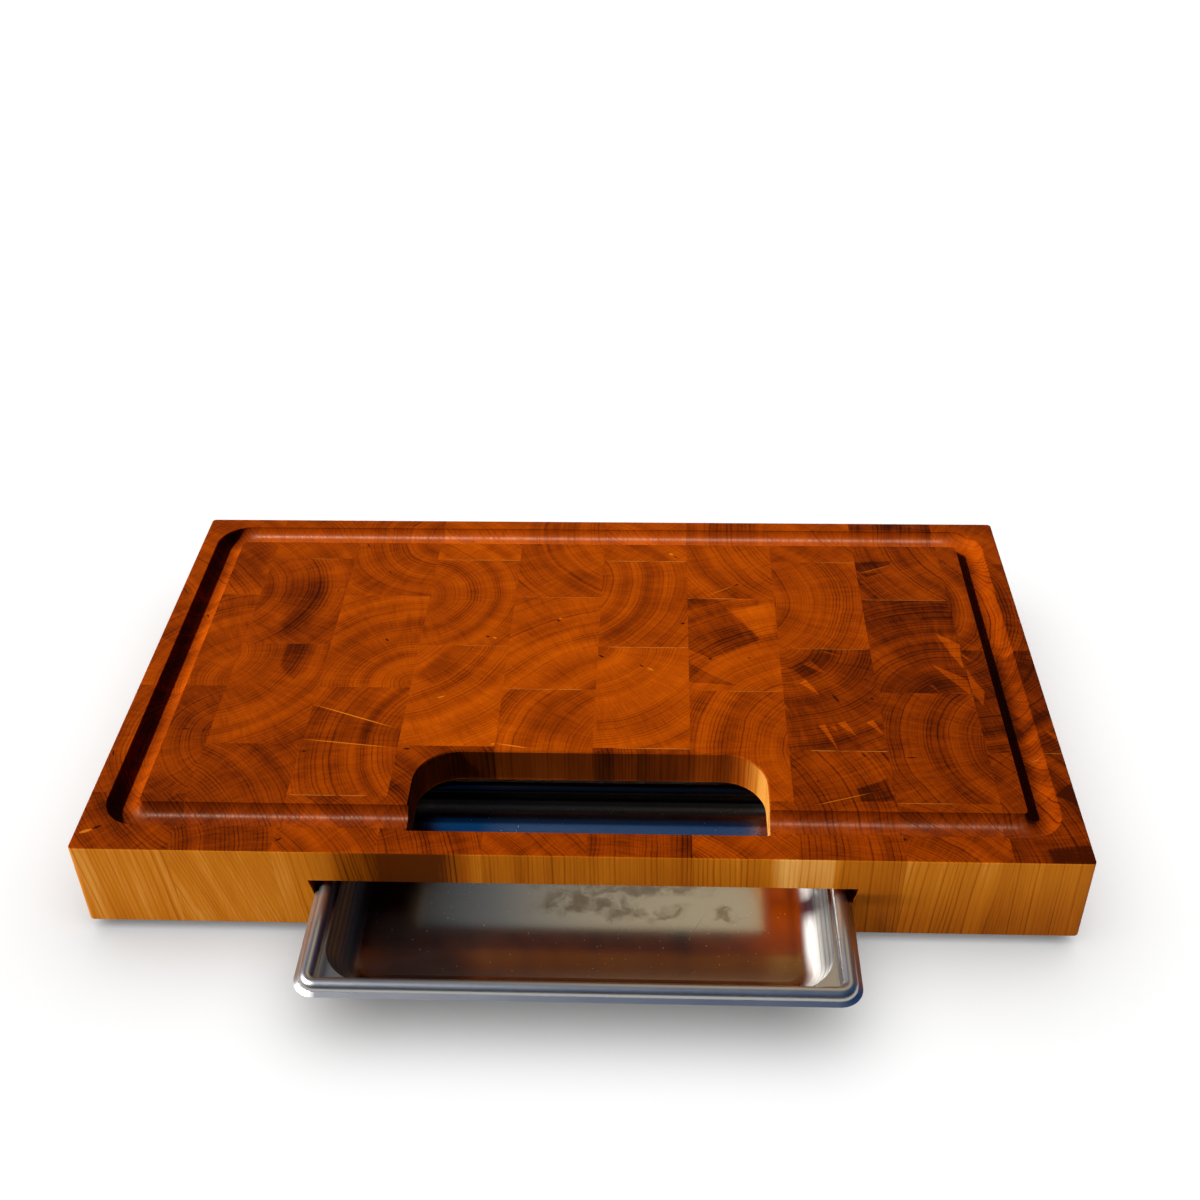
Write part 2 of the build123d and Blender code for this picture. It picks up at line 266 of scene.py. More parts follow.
# Dark heartwood and the pale wedges in it: how much darker each patch is, how soft its edge, and its corners in
# turn, counter-clockwise
PATCHES = {
    "right2_3": (
        (0.26, 0.8, ((66, 117), (66, 60), (85, 49), (106, 61), (120, 71), (97, 107), (91, 117))),
        (0.18, 1.0, ((91, 117), (96, 107), (120, 110), (120, 117))),
        (0.12, 4.0, ((86, 62), (104, 61), (122, 72), (116, 77), (97, 82))),
        (0.28, 0.5, ((66, 46), (66, 25), (101, 19))),
        (-0.12, 3.0, ((121, 72), (131, 76), (131, 117), (121, 112), (99, 105))),
    ),
    "right3_2": (
        (-0.22, 1.0, ((129, 41), (129, 23), (142, 22), (149, 25), (140, 37))),
        (-0.34, 0.5, ((143, 23), (156, 10), (148, 27))),
        (-0.30, 0.5, ((149, 42), (163, 33), (154, 46.5))),
        (-0.22, 0.6, ((158, 58), (174, 52.5), (165, 58))),
        (-0.36, 0.4, ((153.5, -21), (164.5, -43.5), (158, -20))),
        (-0.26, 0.4, ((160.5, -21), (165.5, -26), (164, -20))),
        (-0.34, 0.4, ((166, -18), (178, -31.5), (171, -15.5))),
        (-0.36, 0.4, ((184.5, -16), (193.5, -28), (188.5, -13.5))),
        (-0.28, 0.5, ((129, 2), (136, -6.5), (132, 3))),
        (-0.16, 2.0, ((129, 60), (129, 50), (140, 48), (152, 60))),
    ),
    "right4_3": (
        (-0.36, 0.7, ((242, 78), (257, 38), (257, 66))),
        (-0.34, 0.6, ((236.5, 44), (244, 30), (257, 11), (257, 28))),
        (-0.26, 0.4, ((229, 23.5), (237, 14), (233, 22))),
        (0.14, 4.0, ((199, 11), (238, 11), (246, 20), (226, 42), (208, 30))),
        (0.15, 1.5, ((231, 93), (254, 95), (256, 99), (236, 97))),
        (-0.10, 4.0, ((192, 84), (192, 40), (200, 34), (212, 52))),
    ),
    "right5_2": (
        (-0.30, 0.5, ((254, 58), (262, 47), (259, 56))),
        (-0.32, 0.6, ((254, 48), (254, 18), (262, 1), (265, 14))),
        (-0.26, 0.5, ((297, -21), (306, -36), (306, -27))),
    ),
    "right5_1": (
        (0.24, 0.7, ((293, -83), (306, -90), (306, -70))),
        (0.18, 0.8, ((278, -128), (278, -141), (306, -141), (306, -123))),
    ),
    "right3_1": ((0.22, 0.8, ((171.5, -79.5), (174, -91), (194, -89), (191.5, -68))),),
    "right4_4": (
        (0.24, 0.6, ((192, 165), (192, 156), (198, 151), (222, 163), (223, 167))),
        (0.22, 0.5, ((198, 149), (201, 145), (213, 152.5))),
        (0.14, 0.5, ((192, 145), (192, 139), (200.5, 141.5))),
        (0.18, 2.0, ((192, 206), (257, 206), (257, 219), (192, 219))),
    ),
    "right2_4": ((0.14, 6.0, ((88, 222), (91, 188), (124, 192), (121, 222))),),
    "left5_4": ((0.14, 8.0, ((-290, 165), (-270, 130), (-245, 125), (-245, 160), (-262, 190))),),
    "left4_3": ((0.16, 6.0, ((-222, 140), (-226, 100), (-216, 62), (-202, 66), (-195, 110), (-200, 140))),),
    "left4_2": ((0.24, 2.0, ((-214, 62), (-212, 34), (-200, 20), (-193, 30), (-190, 62))),),
    "left3_2": (
        (0.12, 0.5, ((-185, -5), (-185, -39), (-120, -47), (-120, -29))),
        (0.10, 6.0, ((-158, 2), (-146, -14), (-120, -27), (-120, 5))),
    ),
    "left2_2": ((0.18, 3.0, ((-100, 62), (-117, 24), (-104, 18), (-84, 40), (-74, 62))),),
    "left1_4": ((0.12, 6.0, ((-22, 150), (-12, 124), (6, 120), (6, 150))),),
    "left1_2": ((0.14, 8.0, ((-30, 5), (-34, -28), (-8, -30), (6, -5), (5, 12))),),
}
# Pale glue in the seam at a block's back: from and to, as shares of its width, and how strongly it shows
GLUE_LINES = {
    "left4_3": (0.45, 0.80, 0.6),
    "left2_3": (0.12, 1.00, 1.0),
    "left2_2": (0.48, 1.00, 0.5),
    "left1_3": (0.05, 1.00, 0.4),
    "left1_2": (0.05, 0.85, 0.9),
    "left3_1": (0.04, 0.82, 0.9),
    "left3_3": (0.60, 1.00, 0.3),
    "right1_3": (0.06, 1.00, 1.0),
    "right1_2": (0.10, 1.00, 1.0),
    "right1_1": (0.25, 1.00, 1.0),
    "right2_3": (0.00, 0.55, 0.9),
    "right2_2": (0.42, 0.95, 0.5),
    "right3_3": (0.55, 1.00, 0.8),
    "right3_2": (0.20, 0.95, 0.5),
    "right3_1": (0.24, 1.00, 1.0),
    "right4_3": (0.02, 0.98, 0.6),
    "right4_1": (0.02, 0.55, 0.6),
    "right5_1": (0.60, 1.00, 0.6),
}
# Pale checks and rays: both ends, half the width, and how strongly each shows
CHECKS = {
    "left3_2": (((-185, -4), (-120, -29), 0.55, 0.9), ((-187, -39), (-119, -47), 0.55, 0.7)),
    "left1_2": (((-58, -41), (-33, -46), 0.6, 0.9),),
    "right2_4": (((82, 120), (105, 134), 0.5, 0.45),),
    "right3_1": (((141, -95), (184, -81), 0.5, 0.45),),
    "right4_4": (((194, 149), (222, 161), 0.6, 0.3),),
}
# Gum flecks and small knots: centre, half length, half width, and turn in degrees
FLECKS = (
    (-175, 182, 4.0, 0.7, -65),
    (-153, 147, 1.8, 0.7, -50),
    (-188, 123, 2.8, 0.5, 80),
    (-143, 65, 2.2, 1.0, -45),
    (-72, 70, 1.9, 1.0, -15),
    (-281, 101, 3.0, 0.8, -60),
    (-44, 184, 2.2, 0.8, 10),
    (-23, 89, 1.9, 1.1, 30),
    (65.5, 87, 2.0, 1.2, 0),
    (9, 49, 3.0, 1.2, -35),
    (37, 39, 2.2, 0.9, -35),
    (61, 169, 2.2, 0.7, -40),
    (105.5, 134, 2.3, 1.0, 25),
    (84, 47.5, 1.7, 1.2, 0),
    (111, 49, 1.6, 0.7, -40),
    (166.5, 7, 6.0, 1.2, -62),
    (190.5, 7, 2.0, 1.2, -30),
    (188.5, 27, 1.8, 0.7, -55),
    (209, -50, 4.5, 0.8, 0),
    (179, -48, 2.6, 0.8, -50),
    (195.5, -121.5, 1.7, 1.5, 0),
    (69, -137.5, 1.4, 1.9, 0),
    (148, -73, 1.2, 0.6, -60),
    (205, 121, 2.2, 0.8, -45),
    (-292, -121, 3.6, 1.4, 35),
    (-179, -51, 1.3, 1.1, 0),
    (-113, -47.5, 2.8, 1.1, 0),
    (-119, -55, 1.1, 1.0, 0),
    (-249, -32, 2.4, 0.7, 75),
    (-261, -31, 3.0, 0.6, -5),
    (-179, -129, 3.0, 0.9, 35),
    (-302, -55, 3.6, 0.7, -75),
)
# Painted sheen: pale spots beside them where they glint, in the same form
KNOT_SHEEN_SPOTS = (
    (-298, -124.5, 5.0, 1.6, 25),
    (-67, 68.5, 2.0, 1.0, -20),
    (-22, 91.5, 1.4, 1.0, 30),
    (57.5, 173, 2.4, 1.6, -45),
    (43, 35.5, 3.6, 0.9, -35),
    (-97, 4, 3.6, 0.9, 25),
    (-58, -42, 1.6, 1.0, 30),
)
# Sizes of the pattern, and how far each block's noise is shifted from the last one's
RING_SWAY = 4.0
RAY_WIDTH = 1.0
GLUE_HALF_WIDTH = 0.5
GLUE_END = 0.04
FACE_DEPTH = 0.6
FRONT_DEPTH = 3.0
NOISE_SHIFT = (131.0, 77.0, 53.0)
# The groove's depth, half its width, and the middle lines of its front, back and side runs
GROOVE_DEPTH, GROOVE_HALF_WIDTH = 8.0, 10.2
GROOVE_FRONT, GROOVE_BACK, GROOVE_SIDE = -108.5, 195.5, 283.0
GROOVE_EDGE = 0.3
# The chute's opening, and how much long grain shows on its walls and, as painted light, on its walls that face the
# sun, mostly its round right corner
CHUTE_LEFT, CHUTE_RIGHT = -105.0, 117.0
CHUTE_FRONT = block_boxes["block_right1_1"][1].y / MM
CHUTE_BACK = block_boxes["block_right1_1_back"][0].y / MM
CHUTE_PALENESS = 0.15
SUNLIT_PAINTED_PALENESS = 1.0
# The tint of the wood's own shine, and of the sun's shine along the groove
PLAIN_SHINE, GROOVE_SHINE = (1.0, 0.45, 0.12, 1.0), (1.0, 0.70, 0.50, 1.0)


class CherryBlock(Finish):
    """The finish of one block, whose rings follow its own pith."""

    def __init__(self, name, low, high, number):
        super().__init__("cherry_" + name)
        self.name, self.low, self.high, self.number = name, low, high, number
        self.at = self.place()
        self.x, self.y, self.z = self.parts(self.at)
        self.own = self.vector("ADD", self.at, [number * shift for shift in NOISE_SHIFT])
        self.find_places()
        self.grow()
        colour = self.add_long_grain(self.end_grain())
        self.link(self.add_marks(colour), "Base Color")
        self.polish()

    def find_places(self):
        """Where the point is: on an outer face, in the chute, or in the groove and its long runs."""
        x, y, z = self.x, self.y, self.z
        self.facing_right, _, facing_up = self.parts(self.add("NewGeometry").outputs["Normal"])
        self.steep = facing_up.size().step(0.80, 0.45)
        self.sunny = self.facing_right.step(-0.40, -0.98)
        beyond = (x.size() - (BOARD_HIGH.x - FACE_DEPTH)).at_least(y - (BOARD_HIGH.y - FACE_DEPTH))
        beyond = beyond.at_least(y * -1.0 + (BOARD_LOW.y + FACE_DEPTH))
        self.outside = beyond.step(-FACE_DEPTH, 0.0)
        across = (x - (CHUTE_LEFT + CHUTE_RIGHT) / 2).size() - ((CHUTE_RIGHT - CHUTE_LEFT) / 2 + FACE_DEPTH)
        along = (y - (CHUTE_FRONT + CHUTE_BACK) / 2).size() - ((CHUTE_BACK - CHUTE_FRONT) / 2 + FACE_DEPTH)
        self.in_chute = across.at_least(along).step(0.0, -FACE_DEPTH) * self.steep
        top, bottom = BOARD_HIGH.z, BOARD_HIGH.z - GROOVE_DEPTH
        in_groove = z.step(top - GROOVE_EDGE, top - 4 * GROOVE_EDGE) * z.step(bottom - 1.5, bottom - 0.5)
        self.in_groove = in_groove * self.outside.at_least(self.in_chute).opposite()
        from_run = (y - GROOVE_FRONT).size().at_most((y - GROOVE_BACK).size())
        in_run = self.in_groove * from_run.step(GROOVE_HALF_WIDTH + GROOVE_EDGE, GROOVE_HALF_WIDTH - GROOVE_EDGE)
        self.in_run = in_run * x.size().step(GROOVE_SIDE, GROOVE_SIDE - 2 * GROOVE_HALF_WIDTH)
        self.back_run = self.in_run * (y - GROOVE_BACK).size().step(GROOVE_HALF_WIDTH + 1.0, GROOVE_HALF_WIDTH)

    def grow(self):
        """Rings about the pith, rays across them, and broad bands and clouds of colour."""
        pith, self.darkness, ring = GROWTH[self.name]
        self.pith = Vector(pith)
        middle = (self.low.xy + self.high.xy) / 2
        outward = (middle - self.pith).normalized()
        across = Vector((-outward.y, outward.x))
        mean_radius = max((middle - self.pith).length, (self.high.x - self.low.x) / 2)

        # Rings sway along the trunk, and differ in width and strength
        swayed = self.vector("MULTIPLY", self.own, (1 / 46, 1 / 46, 1 / 260))
        sway = self.vector("SUBTRACT", self.noise_node(swayed, 3.0).outputs["Color"], (0.5, 0.5, 0.5))
        sway = self.vector("MULTIPLY", sway, (2 * RING_SWAY, 2 * RING_SWAY, 0))
        lean = self.add("CombineXYZ", ((self.z - BOARD_HIGH.z) * LEANS.get(self.name, 0.0), 0, 0)).outputs[0]
        from_pith = self.vector("MULTIPLY", self.vector("SUBTRACT", self.at, (*self.pith, 0)), (1, 1, 0))
        self.from_pith = self.vector("ADD", self.vector("ADD", from_pith, lean), sway)
        radius = self.length(self.from_pith)
        year = radius / ring + self.noise_along(radius / 13.0 + self.number * 7.3) * 2.6
        season = year.math("FRACT")
        late_wood = season.step(0.55, 0.93) * season.step(1.0, 0.94)
        strength = self.chance(year.math("FLOOR") + self.number * 19.0).step(0.10, 1.0, 0.30, 1.0)
        self.rings = late_wood * strength * self.noise(self.own, (22, 22, 160)).step(0.30, 0.62, 0.50, 1.0)

        # Rays run out from the pith, across the rings
        turn = self.dot(self.from_pith, (*across, 0)).math("ARCTAN2", self.dot(self.from_pith, (*outward, 0)))
        polar = self.add("CombineXYZ", (turn * mean_radius, radius, self.z)).outputs[0]
        polar = self.vector("ADD", polar, (self.number * 41.0, 0, 0))
        self.rays = self.noise(polar, (RAY_WIDTH, 9, 40), detail=1.0) - 0.5
        broad_rays = self.noise(polar, (2.6, 26, 90), detail=1.0) - 0.5

        bands = self.noise_along(radius / 15.0 + self.number * 3.1, detail=2.0) - 0.5
        self.clouds = self.noise(self.own, (34, 34, 120), detail=3.0) - 0.5
        self.fibres = self.noise(self.own, (0.6, 0.6, 22), detail=2.0, roughness=0.6) - 0.5
        figure = bands * 0.56 + self.clouds * 0.58 + broad_rays * 0.25
        self.figure = figure + self.rings * 0.33 + self.fibres * 0.30 - self.rays * 0.25

    def end_grain(self):
        """The colour of the end grain, with its dark and pale patches, painted shade in the chute, painted sheen
        along the groove's back run, and painted light and shade on the groove's sides.
        """
        # Painted shade darkens the chute's walls, and painted sheen pales the groove's back run
        dark = self.figure + self.darkness + self.in_chute * 0.10 - self.back_run * 0.26
        # Painted shade on the groove's walls that face away from the sun, and painted light on those that face it
        groove_painted_light_and_shade = self.facing_right.step(0.15, 0.60) * 0.40 - self.facing_right.step(0.10, -0.60) * 0.18
        dark = dark + self.in_groove * groove_painted_light_and_shade
        for darker, soft, corners in PATCHES.get(self.name, ()):
            patch = 1.0
            for corner, after in zip(corners, corners[1:] + corners[:1]):
                side = (Vector(after) - Vector(corner)).normalized()
                inward = Vector((-side.y, side.x))
                depth = self.dot(self.from_pith, (*inward, 0)) - inward.dot(Vector(corner) - self.pith)
                patch = depth.step(-soft, soft) * patch
            dark = dark + patch * darker
        return self.ramp(dark, END_GRAIN)

    def add_long_grain(self, colour):
        """Long grain shows on the board's outer faces, and some of it on the walls of the chute, more and paler as
        painted light on those that face the sun, with painted shade low on the front face's right.
        """
        # Painted light: the chute's walls that face the sun show more pale long grain
        chute_share = self.sunny * (SUNLIT_PAINTED_PALENESS - CHUTE_PALENESS) + CHUTE_PALENESS
        share = (self.outside * self.steep).at_least(self.in_chute * chute_share)
        face = (self.figure + self.rings * 0.15) * 0.55 + DARKER_FACES.get(self.name, FACE_DARKNESS)
        # Painted light: the chute's walls that face the sun are paler still
        face = face - self.in_chute * self.sunny * 0.20
        if self.name.endswith("_1"):
            dark_band, streak = [
                self.x.step(begins, full) * self.x.step(ends, fades)
                for begins, full, fades, ends in (FRONT_DARK_BAND, FRONT_STREAK)
            ]
            # Painted shade: the front face darker towards the bottom on the right
            low_right_shade = self.z.step(BOARD_HIGH.z, BOARD_LOW.z) * self.x.step(*LOW_PAINTED_SHADE)
            front = self.y.step(BOARD_LOW.y + FRONT_DEPTH, BOARD_LOW.y + FRONT_DEPTH - 1.0)
            face = face + (dark_band * 0.58 - streak * 0.40 + low_right_shade * 0.30) * front
        return self.mix(share, colour, self.ramp(face, LONG_GRAIN))

    def holds(self, spot):
        """Whether a spot's centre lies on this block."""
        return self.low.x <= spot[0] <= self.high.x and self.low.y <= spot[1] <= self.high.y

    def add_marks(self, colour):
        """Glue, checks, painted sheen spots beside the knots, and flecks show on the end grain."""
        level = self.steep.opposite()
        if self.name in GLUE_LINES:
            start, end, shows = GLUE_LINES[self.name]
            along = (self.x - self.low.x) / (self.high.x - self.low.x)
            line = (self.y - self.high.y).size().step(GLUE_HALF_WIDTH, GLUE_HALF_WIDTH * 0.4)
            line = line * along.step(start - GLUE_END, start + GLUE_END)
            line = line * along.step(end + GLUE_END, end - GLUE_END)
            line = line * self.noise(self.own, (9, 9, 9)).step(0.25, 0.55) * shows
            colour = self.mix(line * level, colour, GLUE)
        for first, last, half_width, shows in CHECKS.get(self.name, ()):
            span = Vector(last) - Vector(first)
            check = (*(Vector(first) + span / 2), span.length / 2, half_width, degrees(atan2(span.y, span.x)))
            colour = self.mix(self.spot(self.at, *check) * level * shows, colour, CHECK_AND_SHEEN_PALE)
        # Painted sheen spots beside the knots
        for sheen_spot in filter(self.holds, KNOT_SHEEN_SPOTS):
            colour = self.mix(self.spot(self.at, *sheen_spot) * level * 0.7, colour, CHECK_AND_SHEEN_PALE)
        for fleck in filter(self.holds, FLECKS):
            colour = self.mix(self.spot(self.at, *fleck) * level * 0.95, colour, GUM)
        return colour

    def polish(self):
        """The cutter left the groove's long runs smooth across, so the sun draws a line of sheen along them."""
        sheen = self.in_run * self.noise(self.own, (1.3, 40, 40), detail=2.0).step(0.30, 0.62, 0.35, 1.0)
        roughness = self.fibres * 0.30 + self.rings * 0.10 + self.clouds * 0.12 + 0.56
        self.link(roughness - self.in_run * 0.07, "Roughness")
        self.link(sheen * (self.back_run * 0.35 + 0.55) + 0.06, "Specular IOR Level")
        self.link(self.mix(self.in_run, PLAIN_SHINE, GROOVE_SHINE), "Specular Tint")
        self.link(self.in_run * 0.95, "Anisotropic")
        self.link(self.add("CombineXYZ", (1, 0, 0)).outputs[0], "Tangent")
        self.bump(self.fibres * 0.7 - self.rings * 0.5 + self.rays * 0.3, 0.12, 0.6)


for number, (node, (low, high)) in enumerate(sorted(block_boxes.items()), start=1):
    name = node.removeprefix(BLOCK_PREFIX).removesuffix("_back")
    if node != BLOCK_PREFIX + name:
        low, high = low.copy(), high.copy()
        low.y = block_boxes[BLOCK_PREFIX + name][0].y
    elif node + "_back" in block_boxes:
        high = high.copy()
        high.y = block_boxes[node + "_back"][1].y
    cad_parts[node].material_slots[0].material = CherryBlock(name, low / MM, high / MM, number).material


# Steel

# Wiped smudges on the tray's floor: centre, half length and half width in millimetres, and turn in degrees
SMUDGES = (
    (-6.0, -126.0, 26.0, 13.0, 8),
    (26.0, -130.0, 24.0, 11.0, -12),
    (54.0, -135.0, 17.0, 7.0, 20),
    (92.0, -132.0, 11.0, 10.0, 0),
    (30.0, -110.0, 75.0, 13.0, 0),
)
# Scratches, in the same form
SCRATCHES = (
    (74.0, -141.0, 11.0, 0.25, 62),
    (-60.0, -178.0, 9.0, 0.2, 20),
    (30.0, -186.0, 7.0, 0.2, -35),
)
STEEL = (0.42, 0.415, 0.405, 1.0)
SMUDGED = (0.22, 0.155, 0.095, 1.0)
SCRATCHED = (0.25, 0.24, 0.23, 1.0)
DUSTY = (0.85, 0.84, 0.82, 1.0)
# Painted reflection: the brown of the dark wood and bay that the floor mirrors, and the wood's tint on the left
# wall
REFLECTED_WOOD_BROWN = (0.30, 0.10, 0.02, 1.0)
REFLECTED_WOOD_TINT = (1.0, 0.70, 0.38, 1.0)
# Where each thing begins and is full, in millimetres: the rim, and the part of it that hands reach
RIM_HEIGHT = (TRAY_HIGH.z - 10.5, TRAY_HIGH.z - 8.5)
HANDLED_DEPTH = (CHUTE_FRONT, CHUTE_FRONT - 20.0)
# Painted reflection of the dark wood and bay on the floor's front along Y and on its left along X, and of the wood
# on the left wall along X
REFLECTION_FRONT, REFLECTION_LEFT, LEFT_WALL = (-158.0, -184.0), (-70.0, -120.0), (0.0, -60.0)
# Painted shade on the tray's back under the board along Y, and along Z above its rounded foot and again above its
# ledge
SHADE_BACK, SHADE_FOOT, SHADE_LEDGE = (-74.0, -66.0), (19.4, 20.8), (29.0, 31.0)


def tray_steel():
    """Satin stainless sheet, polished on the pressed rim, with smudges, scratches and dust on its floor, painted
    reflection of the wood on its floor and left wall, and painted shade on its back.
    """
    steel = Finish("satin_steel")
    place = steel.place()
    x, y, z = steel.parts(place)
    rim = z.step(*RIM_HEIGHT)
    below_rim = rim.opposite()
    satin = steel.noise(place, (5.0, 0.4, 5.0), detail=3.0, roughness=0.6) - 0.5
    cloud = steel.noise(place, (46, 30, 40), detail=4.0, roughness=0.6) - 0.5
    curls = steel.vector("MULTIPLY", place, (1 / 13, 1 / 13, 1 / 13))
    curls = steel.vector("SUBTRACT", steel.noise_node(curls, 3.0).outputs["Color"], (0.5, 0.5, 0.5))
    wiped = steel.vector("ADD", place, steel.vector("SCALE", curls, Scale=22.0))
    smudge = 0.0
    for spot in SMUDGES:
        smudge = steel.spot(wiped, *spot).at_least(smudge)
    normal = steel.add("NewGeometry").outputs["Normal"]
    sideways, _, upward = steel.parts(normal)
    smudge = smudge * steel.noise(wiped, (9, 9, 9), detail=3.0).step(0.25, 0.70) * upward.step(0.40, 0.80)
    marks = 0.0
    for scratch in SCRATCHES:
        marks = steel.spot(place, *scratch).at_least(marks)
    dust = steel.noise(place, (1.1, 1.1, 1.1), detail=0.0).step(0.85, 0.89) * below_rim
    colour = steel.mix(smudge * 0.60, STEEL, SMUDGED)
    colour = steel.mix(marks * 0.6, colour, SCRATCHED)
    colour = steel.mix(dust * 0.35, colour, DUSTY)
    # The sheet's grain runs along X, so its end walls spread light across that; faint level bands mark them
    wall = upward.size().step(0.97, 0.80) * below_rim
    end_wall = sideways.size().step(0.10, 0.35) * below_rim
    # The rim is dull where hands reach it, and polished under the wood
    handled = rim * y.step(*HANDLED_DEPTH)
    roughness = satin * 0.08 + cloud * 0.06 + smudge * 0.14 + dust * 0.2 + 0.20
    steel.link(roughness + end_wall * 0.36 + handled * 0.13, "Roughness")
    steel.link(end_wall * 0.60, "Anisotropic")
    steel.link(steel.vector("CROSS_PRODUCT", normal, (1, 0, 0)), "Tangent")
    # Painted reflection of the dark wood and bay on the floor's front and left, a brown painted reflection of the
    # wood on the left wall, and painted shade on the tray's back under the board
    painted_reflection = (y.step(*REFLECTION_FRONT) * 0.72).at_least(x.step(*REFLECTION_LEFT) * 0.62) * below_rim * wall.opposite()
    colour = steel.mix(painted_reflection, colour, REFLECTED_WOOD_BROWN, "MULTIPLY")
    # Painted reflection of the wood on the left wall
    colour = steel.mix(end_wall * x.step(*LEFT_WALL), colour, REFLECTED_WOOD_TINT, "MULTIPLY")
    # Painted shade on the tray's back, under the board
    painted_shade = y.step(*SHADE_BACK) * z.step(*SHADE_FOOT) * (z.step(*SHADE_LEDGE) * 0.19 + 0.72)
    bands = steel.noise_along(z / 1.9, detail=1.0).step(0.30, 0.60, 0.35, 0.0) * end_wall
    left_after_shade_and_bands = (painted_shade + bands).opposite()
    shade = steel.add("CombineXYZ", (left_after_shade_and_bands, left_after_shade_and_bands, left_after_shade_and_bands)).outputs[0]
    steel.link(steel.mix(1.0, colour, shade, "MULTIPLY"), "Base Color")
    steel.set(Metallic=1.0)
    steel.bump(satin * 0.5 - marks, 0.02, 0.3)
    return steel.material


def plated_steel():
    """Zinc plate on the screws and washers, with fine turning marks."""
    plate = Finish("plated_steel")
    place = plate.place()
    grain = plate.noise(place, (1.2, 1.2, 0.25), detail=3.0)
    plate.link(plate.ramp(grain, [(0.2, (0.42, 0.42, 0.43)), (0.8, (0.62, 0.62, 0.60))]), "Base Color")
    plate.link(grain * 0.25 + 0.22, "Roughness")
    plate.set(Metallic=1.0)
    plate.bump(grain, 0.03, 0.3)
    return plate.material


def rubber():
    """Black rubber with a dusty bloom and a moulded grain."""
    black = Finish("foot_rubber")
    place = black.place()
    bloom = black.noise(place, (7, 7, 7), detail=4.0, roughness=0.65)
    grain = black.noise(place, (0.5, 0.5, 0.5), detail=2.0)
    black.link(black.ramp(bloom, [(0.3, (0.016, 0.016, 0.017)), (0.8, (0.050, 0.048, 0.046))]), "Base Color")
    black.link(bloom * 0.25 + 0.55, "Roughness")
    black.bump(grain, 0.06, 0.5)
    return black.material


finishes = {"steel_tray": tray_steel(), "foot_washers": plated_steel()}
finishes["foot_screws"] = finishes["foot_washers"]
foot_finish = rubber()
for node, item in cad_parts.items():
    if not node.startswith(BLOCK_PREFIX):
        item.material_slots[0].material = finishes.get(node, foot_finish)


# Floor

FLOOR_SIZE = 14.0
FLOOR_GLOW = 0.12
# How far the glow reaches under the board, in millimetres; where it stops, shade under the board is painted
GLOW_REACH = 40.0


def floor_finish():
    """A white floor that the camera and the steel see as white, and that still takes a soft shadow, with painted
    shade where its glow stops under the board.
    """
    white = Finish("white_floor")
    place = white.place()
    paper = white.noise(place, (400, 400, 400), detail=2.0)
    white.link(white.ramp(paper, [(0.0, (0.295, 0.295, 0.295)), (1.0, (0.305, 0.305, 0.305))]), "Base Color")
    white.set(Roughness=0.9, Specular_IOR_Level=0.0)
    path = white.add("LightPath").outputs
    seen = Field(white, path["Is Camera Ray"])
    seen = seen.at_least(path["Is Glossy Ray"]).at_least(path["Is Transmission Ray"])
    x, y, _ = white.parts(place)
    middle, half = (BOARD_LOW + BOARD_HIGH) / 2, (BOARD_HIGH - BOARD_LOW) / 2
    outside = ((x - middle.x).size() - half.x).at_least((y - middle.y).size() - half.y)
    outside = outside.step(-GLOW_REACH, 0.0)
    # The glow stops under the board: painted shade there
    glow = white.add("Emission", {"Color": (1, 1, 1, 1), "Strength": seen * outside * FLOOR_GLOW}).outputs[0]
    both = white.add("AddShader", (white.shader.outputs[0], glow)).outputs[0]
    white.tree.links.new(both, white.tree.nodes["Material Output"].inputs["Surface"])
    return white.material


def make_floor():
    """A flat sheet under the board."""
    sheet = bmesh.new()
    bmesh.ops.create_grid(sheet, x_segments=1, y_segments=1, size=FLOOR_SIZE / 2)
    mesh = bpy.data.meshes.new("floor")
    sheet.to_mesh(mesh)
    sheet.free()
    mesh.materials.append(floor_finish())
    item = bpy.data.objects.new("floor", mesh)
    bpy.context.scene.collection.objects.link(item)
    return item


floor = make_floor()


# Light

AIM = Vector((0.0, -0.03, 0.05))
SUN_DISTANCE = 2.8
FACE_HEIGHT = 0.04
STRIP_HEIGHT = 0.05


def place_lamp(name, kind, toward, distance):
    """A lamp on the given side of the board, turned to face it."""
    lamp = bpy.data.lights.new(name, kind)
    item = bpy.data.objects.new(name, lamp)
    way = Vector(toward).normalized()
    item.location = AIM + way * distance
    item.rotation_mode = "QUATERNION"
    item.rotation_quaternion = way.to_track_quat("Z", "Y")
    item.visible_camera = False
    bpy.context.scene.collection.objects.link(item)
    return item


def sun(name, toward, strength, angle, colour):
    """Even light from one side; the angle in degrees is how wide its disc is."""
    item = place_lamp(name, "SUN", toward, SUN_DISTANCE)
    item.data.energy, item.data.angle, item.data.color = strength, radians(angle), colour
    return item


def panel(item, width, height, watts, colour):
    """Makes a lamp a rectangle that the steel doesn't mirror."""
    item.data.shape, item.data.size, item.data.size_y = "RECTANGLE", width, height
    item.data.energy, item.data.color = watts, colour
    item.visible_glossy = False
    return item


def face_strip(name, toward, distance, width, watts, colour):
    """A strip no higher than the board, so that it lights the side faces and stays out of the grooves."""
    item = place_lamp(name, "AREA", (*toward, 0), distance)
    item.location.z = FACE_HEIGHT
    return panel(item, width, STRIP_HEIGHT, watts, colour)


def light_only(lamp, items, state="INCLUDE"):
    """Lights only the given items, or all but them."""
    group = bpy.data.collections.new(lamp.name + "_lights")
    for item in items:
        group.objects.link(item)
    lamp.light_linking.receiver_collection = group
    for entry in group.collection_objects:
        entry.light_linking.link_state = state


